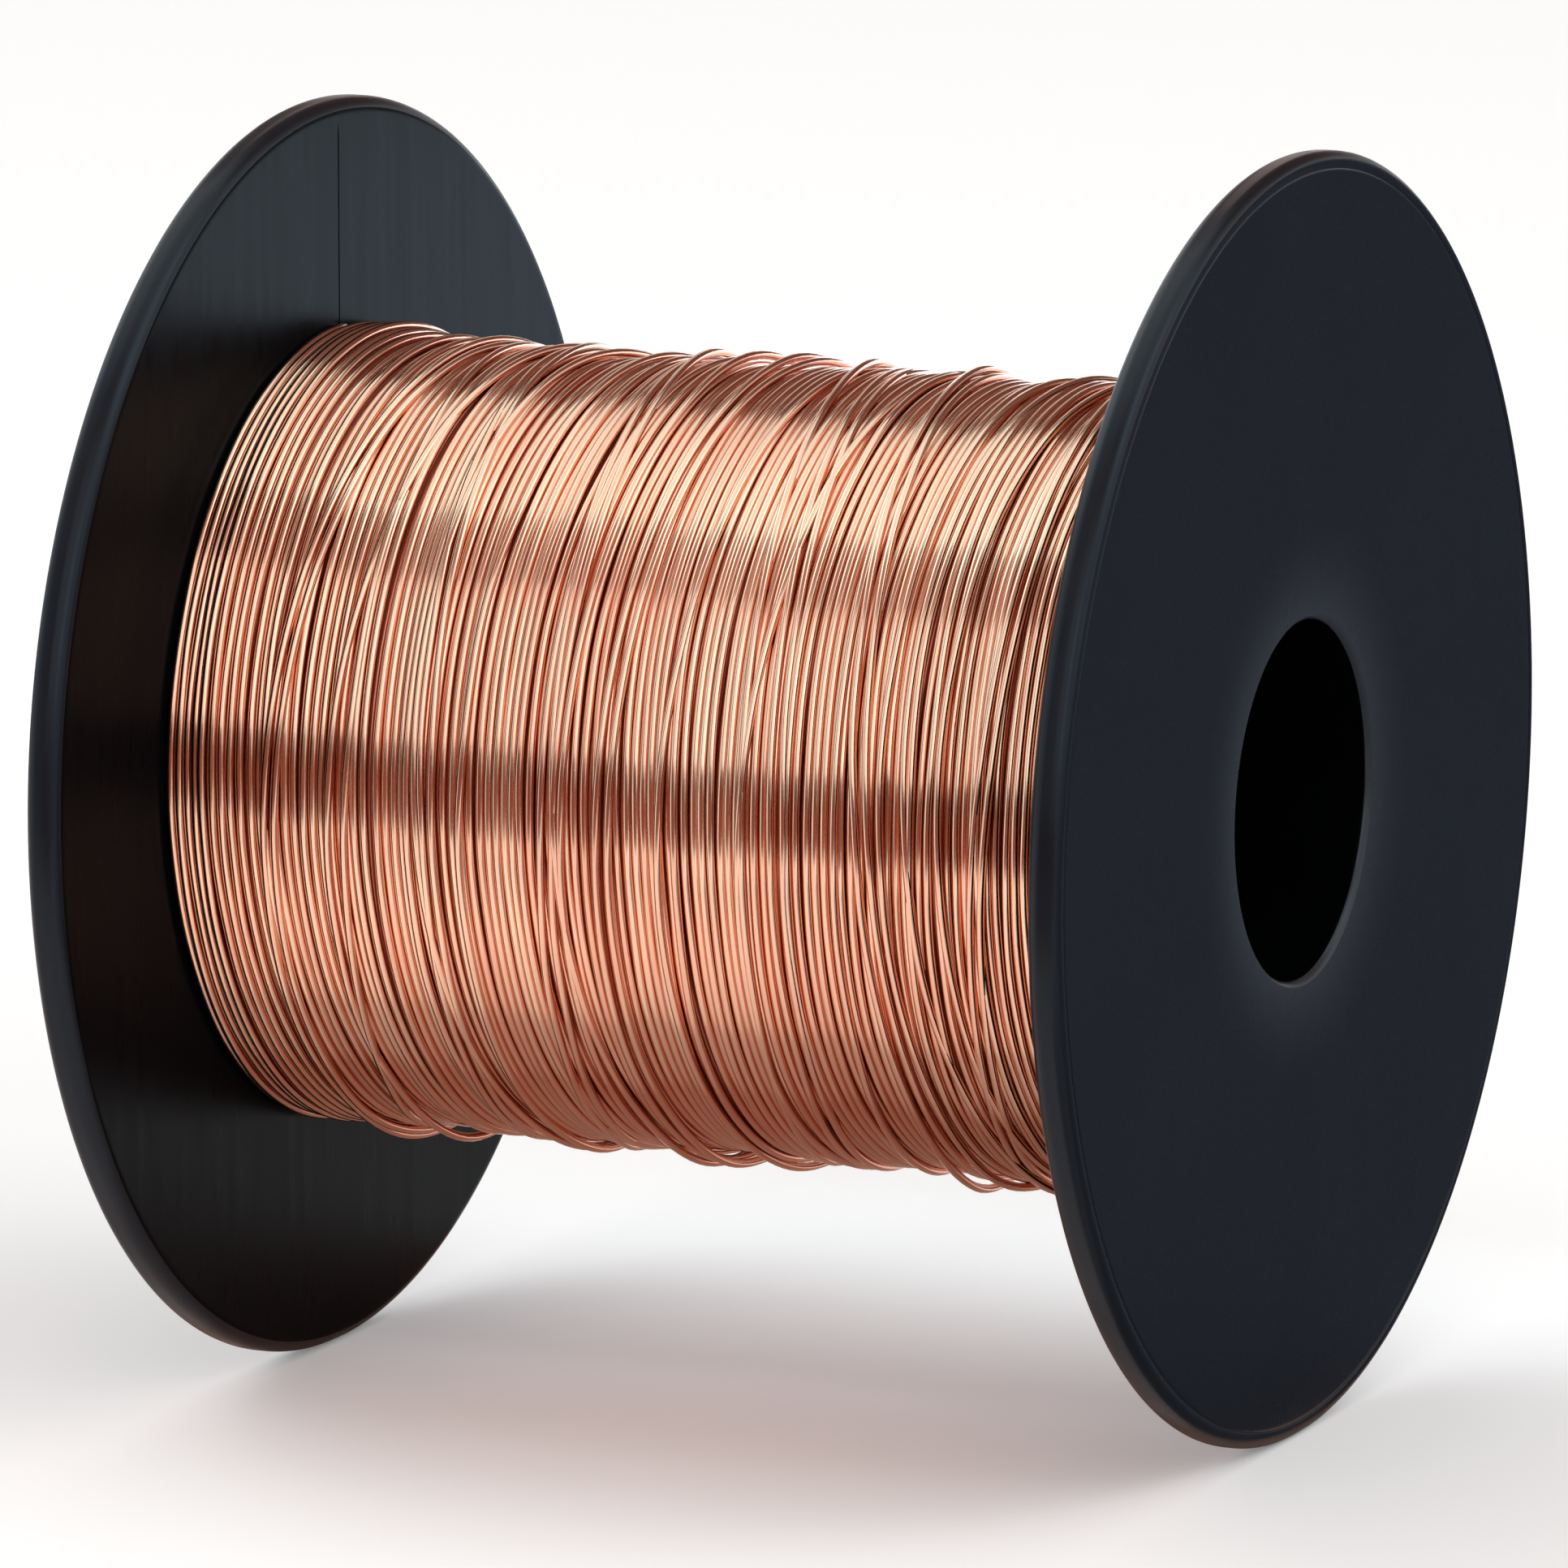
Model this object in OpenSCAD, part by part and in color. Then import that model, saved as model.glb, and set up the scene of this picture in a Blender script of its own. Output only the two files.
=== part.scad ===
// Wire spool: two moulded flanges plugged into a tube barrel, wound full of copper wire.
// Millimetres. The spool's axis lies along X, Z is up, and the origin is the middle of the axis.

/* [Flanges] */
// Diameter of both flanges
flange_d = 80; // [72:1:100]
// Thickness of each flange
flange_t = 2.2; // [2:0.1:3]
// Rounding along both edges of a flange's rim
rim_r = 0.7; // [0.4:0.1:0.9]
// Length of the spool over the flanges' outer faces
spool_len = 68; // [60:1:80]

/* [Spindle hole] */
// Diameter of the hole that the spindle runs in
bore_d = 22.3; // [20:0.1:22.8]
// Corner radius of the hole's lip
lip_r = 1; // [0.7:0.1:1.2]
// Width of the soft dip in the outer face around the lip
dip_w = 3.5; // [2.5:0.1:4]
// Radius of the arc that the dip follows
dip_r = 12; // [12:0.5:20]

/* [Barrel] */
// Outside diameter of the barrel
barrel_d = 30; // [29.5:0.5:34]
// Outside diameter of a flange's spigot, which is also the barrel's inside diameter
spigot_d = 26.2; // [25.6:0.1:26.6]
// Length of each spigot inside the barrel
spigot_len = 9; // [6:0.5:14]
// Number of keys that stop a flange from turning in the barrel
keys = 3; // [2:1:6]
// Width of each key
key_w = 3; // [2:0.1:4]
// Length of each key along the axis
key_len = 3.5; // [2:0.1:5]
// Height of each key above the spigot
key_h = 0.9; // [0.5:0.1:0.9]

/* [Wire] */
// Diameter of the copper wire
wire_d = 0.56; // [0.4:0.02:0.7]
// Diameter over the winding, away from its ends
winding_d = 49.2; // [44:0.2:56]
// How much higher the winding stands where it climbs the left flange
climb_h = 0.6; // [0:0.1:1]
// Length along the axis over which that climb dies away
climb_len = 5; // [3:0.5:8]
// Number of last turns that cross the outer layer at a slant
crossing_turns = 9; // [3:1:9]
// Slant of the steepest crossing turn, in degrees
crossing_slant = 4; // [2:0.5:4]

/* [Hidden] */
$fn = 96;
ring_fn = 48;                                 // steps around a ring of wire
wire_fn = 14;                                 // steps around the wire itself
layer_fn = 6;                                 // sides of a turn in the full outer layer
flange_r = flange_d / 2;
bore_r = bore_d / 2;
spigot_r = spigot_d / 2;
barrel_r = barrel_d / 2;
traverse = spool_len - 2 * flange_t;          // clear length between the flanges
overlap = 0.2;                                // how far united solids reach into each other
lead_in = 0.6;                                // chamfer at a spigot's free end
key_play = 0.05;                              // gap between a key and its notch, each side

// The lip's arc touches the bore wall and the dip's arc, and the dip's arc touches the face.
lip_x = bore_r + lip_r;
dip_x = lip_x + dip_w;
dip_y = flange_t - dip_r;
lip_y = dip_y + sqrt(pow(dip_r - lip_r, 2) - pow(dip_w, 2));

// The wire's outermost full layer, turn by turn, and the packed layers under it.
wire_r = wire_d / 2;
turn_gap = 0.055;                             // mean gap between neighbouring turns
lay_gap = 0.008;                              // gap between a crossing turn and the turns under it
turns = floor((traverse - wire_d) / (wire_d + turn_gap)) + 1;
turn_pitch = (traverse - wire_d) / (turns - 1);
profile_steps = 24;                           // straight steps along the winding's climbing outline

// The wire's first end: through a hole in the barrel and along the inside of it.
start_x = -traverse / 2 + spigot_len + 4;
start_hole_d = 3 * wire_d;
start_bend_r = 2 * wire_d;
start_tail_len = 8;

// The crossing turns, spread evenly along the winding, and the wire's last end: an arc laid
// over the outer layer at the back, midway between two of them.
crossing_spacing = traverse / (crossing_turns + 1);
tail_turn = floor(crossing_turns * 2 / 3) + 0.5;
tail_from = 60;
tail_sweep = 80;

// Radius over the winding at place x along the axis: it climbs a little at the left flange.
function winding_r(x) =
    winding_d / 2 + climb_h * exp(-pow((x + traverse / 2) / climb_len, 2));

// Place along the axis and slant of crossing turn i. Its slant differs from its neighbours'.
function crossing_x(i) = -traverse / 2 + i * crossing_spacing;
function crossing_angle(i) = crossing_slant * sin(i * 137);

// Turns a shape made along Z so that it lies along X.
module along_x() rotate([0, 90, 0]) children();

// The outer face near the hole: the dip's arc, then the lip's quarter round down to the bore.
module lip_outline() {
    translate([bore_r, 0]) square([dip_x - bore_r + overlap, lip_y]);
    intersection() {
        translate([lip_x, lip_y]) circle(r = lip_r);
        translate([bore_r, 0]) square([lip_r, flange_t]);
    }
    intersection() {
        translate([dip_x, dip_y]) circle(r = dip_r, $fn = 360);
        translate([lip_x, 0]) square([dip_w + overlap, flange_t]);
    }
}

// Half section of a flange: X is the radius, Y points outwards from the winding.
module flange_outline() {
    lip_outline();
    translate([dip_x, 0]) square([flange_r - rim_r - dip_x, flange_t]);
    translate([flange_r - 2 * rim_r, rim_r]) square([2 * rim_r, flange_t - 2 * rim_r]);
    for (y = [rim_r, flange_t - rim_r])
        translate([flange_r - rim_r, y]) circle(r = rim_r);
    polygon([[bore_r, overlap], [spigot_r, overlap], [spigot_r, lead_in - spigot_len],
             [spigot_r - lead_in, -spigot_len], [bore_r, -spigot_len]]);
}

// The keys (or, with play, the notches) around a spigot, just inside the flange.
module key_ring(play = 0) {
    for (i = [0 : keys - 1])
        rotate([0, 0, 360 * i / keys])
            translate([spigot_r - overlap, -key_w / 2 - play, -key_len - play])
                cube([key_h + overlap + play, key_w + 2 * play, key_len + play]);
}

// One flange moulding, with its inner face in the XY plane and its spigot below.
module flange_moulding() {
    rotate_extrude() flange_outline();
    translate([0, 0, overlap / 4]) key_ring();
}

module left_flange() {
    color("#23262d")
        translate([-traverse / 2, 0, 0]) mirror([1, 0, 0]) along_x() flange_moulding();
}

module right_flange() {
    color("#23262d")
        translate([traverse / 2, 0, 0]) along_x() flange_moulding();
}

// The tube between the flanges, notched for the keys and drilled for the wire's first end.
module barrel() {
    color("#2b2e35") along_x() difference() {
        cylinder(r = barrel_r, h = traverse, center = true);
        cylinder(r = spigot_r, h = traverse + 2 * overlap, center = true);
        translate([0, 0, traverse / 2]) notches();
        mirror([0, 0, 1]) translate([0, 0, traverse / 2]) notches();
        translate([0, 0, start_x]) rotate([0, -90, 0])
            cylinder(d = start_hole_d, h = barrel_d);
    }
}

// The notches in one end of the barrel, run past the end so that they cut cleanly.
module notches() {
    for (shift = [0, overlap])
        translate([0, 0, shift]) key_ring(key_play);
}

// The wire's anchored end: down through the barrel's hole, round a bend and along the wall.
module wire_start() {
    tail_r = spigot_r - wire_r;
    color("#b8654a") translate([start_x, 0, tail_r + start_bend_r]) {
        cylinder(r = wire_r, h = barrel_r - tail_r - start_bend_r);
        translate([start_bend_r, 0, 0]) rotate([90, 0, 180]) rotate([0, 0, -90])
            rotate_extrude(angle = 90, $fn = ring_fn)
                translate([start_bend_r, 0]) circle(r = wire_r, $fn = wire_fn);
        translate([start_bend_r, 0, -start_bend_r]) along_x()
            cylinder(r = wire_r, h = start_tail_len);
    }
}

// Every layer under the outermost one, packed tight between the flanges.
module wire_packed_layers() {
    top = [for (i = [0 : profile_steps])
        let (x = -traverse / 2 + traverse * pow(i / profile_steps, 2))
            [winding_r(x) - wire_d, x]];
    color("#8f4a38") along_x() rotate_extrude()
        polygon(concat([[barrel_r, -traverse / 2]], top, [[barrel_r, traverse / 2]]));
}

// The outermost full layer: one ring of wire for each turn.
module wire_outer_layer() {
    color("#d08060") along_x() rotate_extrude($fn = ring_fn)
        for (i = [0 : turns - 1])
            let (x = -traverse / 2 + wire_r + i * turn_pitch)
                translate([winding_r(x) - wire_r, x]) circle(r = wire_r, $fn = layer_fn);
}

// An arc of wire lying over the outer layer where crossing turn i runs, clear of it everywhere.
module crossing_arc(i, sweep) {
    ring_r = (winding_r(crossing_x(i)) + wire_r + lay_gap) / cos(crossing_angle(i));
    translate([crossing_x(i), 0, 0]) rotate([0, 0, crossing_angle(i)]) along_x()
        rotate([0, 0, tail_from]) rotate_extrude(angle = sweep, $fn = ring_fn)
            translate([ring_r, 0]) circle(r = wire_r, $fn = wire_fn);
}

// The last few turns, which run back over the outer layer at a slant.
module wire_crossing_turns() {
    color("#e0a182") for (i = [1 : crossing_turns]) crossing_arc(i, 360);
}

// The wire's last end, lying over the outer layer at the back.
module wire_tail() {
    color("#e0a182") crossing_arc(tail_turn, tail_sweep);
}

left_flange();
right_flange();
barrel();
wire_start();
wire_packed_layers();
wire_outer_layer();
wire_crossing_turns();
wire_tail();
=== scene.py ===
"""Wire spool: two black flange mouldings on a tube, wound full of bare copper wire.

Lengths are metres. The spool's axis lies along X, with the left flange at -X, and Z is up. An angle
round the axis starts at the top and grows towards the front, so the front is at 90 degrees.
"""

from __future__ import annotations

import logging
import math
from dataclasses import dataclass, field
from enum import Enum

import bpy
import numpy as np
from mathutils import Matrix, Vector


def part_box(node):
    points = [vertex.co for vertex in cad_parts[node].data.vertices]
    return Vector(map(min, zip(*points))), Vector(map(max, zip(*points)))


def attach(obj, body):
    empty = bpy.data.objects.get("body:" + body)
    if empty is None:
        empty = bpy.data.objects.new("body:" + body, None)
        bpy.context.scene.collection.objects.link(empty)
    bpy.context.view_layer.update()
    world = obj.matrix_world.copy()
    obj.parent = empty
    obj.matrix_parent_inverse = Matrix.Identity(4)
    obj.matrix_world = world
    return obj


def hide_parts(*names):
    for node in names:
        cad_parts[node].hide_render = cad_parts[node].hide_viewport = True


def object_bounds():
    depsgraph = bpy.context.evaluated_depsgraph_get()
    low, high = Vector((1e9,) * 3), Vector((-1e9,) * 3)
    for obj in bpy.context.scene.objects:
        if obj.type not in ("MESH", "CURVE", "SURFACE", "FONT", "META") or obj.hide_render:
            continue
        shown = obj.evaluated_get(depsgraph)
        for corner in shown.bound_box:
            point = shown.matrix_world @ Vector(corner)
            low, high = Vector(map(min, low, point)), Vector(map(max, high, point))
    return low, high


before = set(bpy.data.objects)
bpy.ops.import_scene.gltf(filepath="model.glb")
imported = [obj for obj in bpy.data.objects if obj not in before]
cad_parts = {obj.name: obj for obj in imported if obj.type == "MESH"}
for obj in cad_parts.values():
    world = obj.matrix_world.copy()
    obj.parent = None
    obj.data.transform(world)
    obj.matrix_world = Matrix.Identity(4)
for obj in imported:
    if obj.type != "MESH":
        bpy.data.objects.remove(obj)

Array = np.ndarray
Colour = tuple[float, float, float]
Place = tuple[float, float, float]
Socket = bpy.types.NodeSocket
MM = 0.001
BODY = "root"
CAD_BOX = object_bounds()
log = logging.getLogger("wire_spool")


# ---------------------------------------------------------------- meshes


@dataclass
class Surface:
    """Points and faces of a mesh that is still being worked out.

    Args:
        points: one row of x, y, z for each point.
        quads: one row of four point numbers for each four-sided face.
        triangles: one row of three point numbers for each three-sided face.
        uv: one row of u, v for each point.
        sharp: for each point, the number of the hard edge line that it is on, or -1.
    """

    points: Array
    quads: Array
    triangles: Array = field(default_factory=lambda: np.zeros((0, 3), int))
    uv: Array | None = None
    sharp: Array | None = None

    def outward(self) -> Surface:
        """Turns the faces round if the closed surface's volume comes out negative.

        Returns:
            This surface, with its faces pointing outwards.
        """
        a, b, c, d = (self.points[self.quads[:, i]] for i in range(4))
        volume = np.einsum("ij,ij->", a, np.cross(b, c)) + np.einsum("ij,ij->", a, np.cross(c, d))
        if volume < 0:
            self.quads = self.quads[:, ::-1]
            self.triangles = self.triangles[:, ::-1]
        return self

    def to_object(self, name: str) -> bpy.types.Object:
        """Makes a smooth-shaded Blender object of the surface and links it to the scene.

        Args:
            name: the object's name.

        Returns:
            The new object, which sits at the origin.
        """
        mesh = bpy.data.meshes.new(name)
        sizes = np.concatenate([np.full(len(self.quads), 4), np.full(len(self.triangles), 3)])
        corners = np.concatenate([self.quads.ravel(), self.triangles.ravel()])
        starts = np.concatenate([[0], np.cumsum(sizes)[:-1]])
        mesh.vertices.add(len(self.points))
        mesh.vertices.foreach_set("co", self.points.astype(np.float32).ravel())
        mesh.loops.add(len(corners))
        mesh.loops.foreach_set("vertex_index", corners.astype(np.int32))
        mesh.polygons.add(len(sizes))
        mesh.polygons.foreach_set("loop_start", starts.astype(np.int32))
        mesh.polygons.foreach_set("loop_total", sizes.astype(np.int32))
        mesh.polygons.foreach_set("use_smooth", np.ones(len(sizes), bool))
        mesh.update(calc_edges=True)
        if self.uv is not None:
            layer = mesh.uv_layers.new(name="lay")
            layer.data.foreach_set("uv", self.uv[corners].astype(np.float32).ravel())
        if self.sharp is not None:
            self._mark_sharp(mesh)
        mesh.validate()
        piece = bpy.data.objects.new(name, mesh)
        bpy.context.scene.collection.objects.link(piece)
        return piece

    def _mark_sharp(self, mesh: bpy.types.Mesh) -> None:
        """Marks each edge whose two ends are on the same hard edge line.

        Args:
            mesh: the mesh made of this surface.
        """
        ends = np.zeros(len(mesh.edges) * 2, np.int32)
        mesh.edges.foreach_get("vertices", ends)
        lines = self.sharp[ends.reshape(-1, 2)]
        hard = (lines[:, 0] >= 0) & (lines[:, 0] == lines[:, 1])
        marks = mesh.attributes.new("sharp_edge", "BOOLEAN", "EDGE")
        marks.data.foreach_set("value", hard)


def joined(surfaces: list[Surface]) -> Surface:
    """Puts several surfaces into one, with their points numbered on.

    Args:
        surfaces: surfaces that all have a UV map.

    Returns:
        The one surface. A point without a hard edge line of its own stays without.
    """
    starts = np.cumsum([0] + [len(s.points) for s in surfaces[:-1]])
    lines = [np.full(len(s.points), -1) if s.sharp is None else s.sharp for s in surfaces]
    return Surface(
        np.concatenate([s.points for s in surfaces]),
        np.concatenate([s.quads + n for s, n in zip(surfaces, starts)]),
        np.concatenate([s.triangles + n for s, n in zip(surfaces, starts)]),
        np.concatenate([s.uv for s in surfaces]),
        np.concatenate(lines) if any(s.sharp is not None for s in surfaces) else None,
    )


def grid_quads(rows: int, columns: int, wrap_rows: bool, wrap_columns: bool) -> Array:
    """Faces of a grid of points that is stored row by row.

    Args:
        rows: number of rows of points.
        columns: number of points in a row.
        wrap_rows: whether the last row joins the first.
        wrap_columns: whether the last column joins the first.

    Returns:
        One row of four point numbers for each face.
    """
    r = np.arange(rows if wrap_rows else rows - 1)[:, None]
    c = np.arange(columns if wrap_columns else columns - 1)[None, :]
    r_next, c_next = (r + 1) % rows, (c + 1) % columns
    corners = [r * columns + c, r * columns + c_next, r_next * columns + c_next, r_next * columns + c]
    return np.stack([np.broadcast_to(i, np.broadcast(r, c).shape) for i in corners], -1).reshape(-1, 4)


def around(radius: Array, angle: Array, x: Array) -> Array:
    """Points at a distance from the spool's axis: y = -radius sin(angle), z = radius cos(angle)."""
    radius, angle, x = np.broadcast_arrays(radius, angle, x)
    return np.stack([x, -radius * np.sin(angle), radius * np.cos(angle)], -1)


def arc(centre: tuple[float, float], radius: float, start: float, end: float, steps: int) -> Array:
    """Points along an arc: centre + radius (cos a, sin a), from start to end in degrees."""
    a = np.radians(np.linspace(start, end, steps + 1))
    return np.array(centre) + radius * np.stack([np.cos(a), np.sin(a)], -1)


def box(low: Place, high: Place) -> Surface:
    """A plain closed block.

    Args:
        low: its lowest corner.
        high: its highest corner.

    Returns:
        The block, with hard edges.
    """
    corners = np.array(np.meshgrid(*zip(low, high), indexing="ij")).reshape(3, -1).T
    faces = [[0, 1, 3, 2], [4, 6, 7, 5], [0, 4, 5, 1], [2, 3, 7, 6], [0, 2, 6, 4], [1, 5, 7, 3]]
    return Surface(corners, np.array(faces), sharp=np.zeros(8, int)).outward()


def tube(path: Array, away: Array, radius: Array | float, sides: int) -> Surface:
    """A round wire carried along a path, with its ends closed.

    Each ring is path point + radius (cos a * up + sin a * side), where up is the away direction
    made square to the path, and side is square to both.

    Args:
        path: the points along the wire's middle.
        away: for each point, a direction that is nowhere along the path.
        radius: the wire's radius, one value or one for each point.
        sides: number of points around the wire.

    Returns:
        The tube. Its u runs along the wire in metres, and its v once around it.
    """
    along = np.gradient(path, axis=0)
    along /= np.linalg.norm(along, axis=1, keepdims=True)
    up = away - along * np.einsum("ij,ij->i", away, along)[:, None]
    up /= np.linalg.norm(up, axis=1, keepdims=True)
    side = np.cross(along, up)
    a = np.linspace(0, 2 * np.pi, sides, endpoint=False)
    radius = np.broadcast_to(radius, len(path))
    ring = np.cos(a)[None, :, None] * up[:, None] + np.sin(a)[None, :, None] * side[:, None]
    points = (path[:, None] + radius[:, None, None] * ring).reshape(-1, 3)
    run = np.concatenate([[0], np.cumsum(np.linalg.norm(np.diff(path, axis=0), axis=1))])
    v = np.abs(np.linspace(-1, 1, sides, endpoint=False))
    uv = np.stack(np.broadcast_arrays(run[:, None], v[None, :]), -1).reshape(-1, 2)
    quads = grid_quads(len(path), sides, False, True)
    first, last = len(points), len(points) + 1
    rim = np.arange(sides)
    turned = np.roll(rim, -1)
    end = rim + (len(path) - 1) * sides
    caps = np.concatenate(
        [
            np.stack([np.full(sides, first), turned, rim], -1),
            np.stack([np.full(sides, last), end, np.roll(end, -1)], -1),
        ]
    )
    points = np.concatenate([points, path[:1], path[-1:]])
    uv = np.concatenate([uv, [[0, 0], [run[-1], 0]]])
    return Surface(points, quads, caps, uv).outward()


# ---------------------------------------------------------------- finishes


class Nodes:
    """A node tree, with short ways to add and join nodes."""

    def __init__(self, tree: bpy.types.NodeTree) -> None:
        """Keeps the tree, and gives it its coordinates."""
        self.tree = tree
        self.coordinates = self.add("TexCoord").outputs

    def add(self, kind: str, **values: object) -> bpy.types.Node:
        """Adds a node.

        Args:
            kind: the node's type, without its ShaderNode prefix.
            values: its settings, and its inputs' values under the inputs' names in lower case
                with underscores.

        Returns:
            The new node.
        """
        node = self.tree.nodes.new("ShaderNode" + kind)
        inputs = {i.name.lower().replace(" ", "_"): i for i in reversed(node.inputs)}
        for key, value in values.items():
            if key in inputs:
                inputs[key].default_value = value
            else:
                setattr(node, key, value)
        return node

    def join(self, source: Socket, node: bpy.types.Node, entry: str | int) -> bpy.types.Node:
        """Links a socket to a node's input, and returns that node."""
        self.tree.links.new(source, node.inputs[entry])
        return node

    def noise(self, vector: Socket, scale: float, detail: float = 3.0, roughness: float = 0.5) -> Socket:
        """A noise pattern's value on the given coordinates."""
        node = self.add("TexNoise", scale=scale, detail=detail, roughness=roughness)
        return self.join(vector, node, "Vector").outputs["Fac"]

    def stretched(self, source: Socket, scale: Place) -> Socket:
        """Coordinates scaled by a different amount along each axis.

        Args:
            source: the coordinates.
            scale: the amount for each axis.

        Returns:
            The scaled coordinates.
        """
        node = self.add("VectorMath", operation="MULTIPLY")
        node.inputs[1].default_value = scale
        return self.join(source, node, 0).outputs[0]

    def ranged(
        self,
        source: Socket,
        low: float,
        high: float,
        to_low: float = 0,
        to_high: float = 1,
        way: str = "LINEAR",
    ) -> Socket:
        """Maps the values low to high onto to_low to to_high in the given way, and holds them there."""
        ends = {"from_min": low, "from_max": high, "to_min": to_low, "to_max": to_high}
        return self.join(source, self.add("MapRange", interpolation_type=way, **ends), "Value").outputs[0]

    def reckoned(self, operation: str, *sources: Socket | float) -> Socket:
        """Works out a number.

        Args:
            operation: the Math node's operation.
            sources: what it works on, each a socket or a fixed number.

        Returns:
            The result.
        """
        node = self.add("Math", operation=operation)
        for entry, source in enumerate(sources):
            if isinstance(source, float):
                node.inputs[entry].default_value = source
            else:
                self.join(source, node, entry)
        return node.outputs[0]

    def blend(self, factor: Socket, dark: Colour, light: Colour | Socket) -> Socket:
        """Mixes two colours.

        Args:
            factor: share of the second colour, from 0 to 1.
            dark: the first colour.
            light: the second colour, fixed or a pattern.

        Returns:
            The mixed colour.
        """
        node = self.add("Mix", data_type="RGBA")
        first, second, mixed = node.inputs[6], node.inputs[7], node.outputs[2]
        first.default_value = (*dark, 1)
        if isinstance(light, tuple):
            second.default_value = (*light, 1)
        else:
            self.tree.links.new(light, second)
        self.join(factor, node, 0)
        return mixed

    def added(self, colour: Socket, factor: Socket, extra: Colour) -> Socket:
        """Adds a share of a colour to a pattern.

        Args:
            colour: the pattern.
            factor: the share.
            extra: the colour that is added.

        Returns:
            The pattern plus the factor times the extra colour.
        """
        node = self.add("VectorMath", operation="MULTIPLY_ADD")
        node.inputs[1].default_value = extra
        self.join(colour, node, 2)
        return self.join(factor, node, 0).outputs[0]

    def bump(self, height: Socket, distance: float, strength: float, base: Socket | None = None) -> Socket:
        """Bends the normal by a height pattern.

        Args:
            height: the pattern, from 0 to 1.
            distance: how far it stands up, in metres.
            strength: share of the bend that is kept.
            base: a normal that is already bent.

        Returns:
            The bent normal.
        """
        node = self.add("Bump", distance=distance, strength=strength)
        self.join(height, node, "Height")
        if base is not None:
            self.join(base, node, "Normal")
        return node.outputs["Normal"]

    def reach(self) -> Socket:
        """Distance from the spool's axis, as a pattern."""
        flat = self.stretched(self.coordinates["Object"], (0, 1, 1))
        return self.join(flat, self.add("VectorMath", operation="LENGTH"), 0).outputs["Value"]

    def shown(self) -> Socket:
        """Tells the rays that show a surface in the picture, in a reflection or through glass.

        Returns:
            1 for those rays, otherwise 0.
        """
        rays = self.add("LightPath").outputs
        plain = self.reckoned("MAXIMUM", rays["Is Camera Ray"], rays["Is Glossy Ray"])
        return self.reckoned("MAXIMUM", plain, rays["Is Transmission Ray"])


class Skin(Nodes):
    """The node tree of a new material."""

    def __init__(self, name: str) -> None:
        """Makes the material, and keeps its shader node.

        Args:
            name: the material's name.
        """
        self.material = bpy.data.materials.new(name)
        self.material.use_nodes = True
        super().__init__(self.material.node_tree)
        self.shader = self.tree.nodes["Principled BSDF"]

    def shade(self, entry: str, source: Socket) -> None:
        """Links a pattern to the shader's input."""
        self.join(source, self.shader, entry)

    def fixed(self, entry: str, value: float | tuple[float, ...]) -> None:
        """Sets one of the shader's own values."""
        self.shader.inputs[entry].default_value = value


@dataclass(frozen=True)
class MouldedPlastic:
    """Satin moulded plastic: fine spark texture, soft mottling and uneven gloss.

    Args:
        dark: colour of the darker mottling.
        light: colour of the lighter mottling.
        roughness: middle roughness of the skin.
        grain: height of the fine texture, in metres.
        specular: the shader's specular level.
        tint: the shader's specular tint.
    """

    dark: Colour
    light: Colour
    roughness: float
    grain: float
    specular: float
    tint: Colour

    def colour(self, skin: Skin) -> Socket:
        """The skin's colour: mottling of a few millimetres with flow marks that run outwards.

        Args:
            skin: the node tree that the pattern goes into.

        Returns:
            The colour.
        """
        place = skin.coordinates["Object"]
        flat = skin.stretched(place, (0, 1, 1))
        spoke = skin.join(flat, skin.add("VectorMath", operation="NORMALIZE"), 0).outputs[0]
        flow, mottling = skin.noise(spoke, scale=2.2, detail=2), skin.noise(place, scale=70, detail=4)
        tone = skin.reckoned("ADD", flow, mottling)
        return skin.blend(skin.ranged(tone, 0.7, 1.3), self.dark, self.light)

    def gloss(self, skin: Skin) -> Socket:
        """The skin's roughness, uneven in patches of a few millimetres."""
        scuffs = skin.noise(skin.coordinates["Object"], scale=260, detail=4, roughness=0.6)
        return skin.ranged(scuffs, 0.3, 0.7, self.roughness - 0.04, self.roughness + 0.04)

    def material(self, name: str) -> bpy.types.Material:
        """Builds the node material.

        Args:
            name: the material's name.

        Returns:
            The material.
        """
        skin = Skin(name)
        grain = skin.noise(skin.coordinates["Object"], scale=5200, detail=2)
        skin.shade("Base Color", self.colour(skin))
        skin.shade("Roughness", self.gloss(skin))
        skin.fixed("Specular IOR Level", self.specular)
        skin.fixed("Specular Tint", (*self.tint, 1))
        skin.shade("Normal", skin.bump(grain, self.grain, strength=0.3))
        return skin.material


@dataclass(frozen=True)
class SheenRingPlastic(MouldedPlastic):
    """The flanges' glossier outside, with a paler ring painted round the spindle hole as a painted sheen.

    Args:
        painted_sheen: colour of the painted sheen that is added beside the hole.
        hole: radius where the ring starts.
        sheen_width: width over which the painted sheen fades.
    """

    painted_sheen: Colour
    hole: float
    sheen_width: float

    def colour(self, skin: Skin) -> Socket:
        """The skin's colour, plus a painted sheen: the sheen colour times (1 - way across the ring)
        squared.

        Args:
            skin: the node tree that the pattern goes into.

        Returns:
            The colour.
        """
        # Painted sheen: a paler ring that fades out from the spindle hole.
        ring = skin.ranged(skin.reach(), self.hole, self.hole + self.sheen_width, 1, 0)
        return skin.added(super().colour(skin), skin.reckoned("POWER", ring, 2.0), self.painted_sheen)


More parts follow.
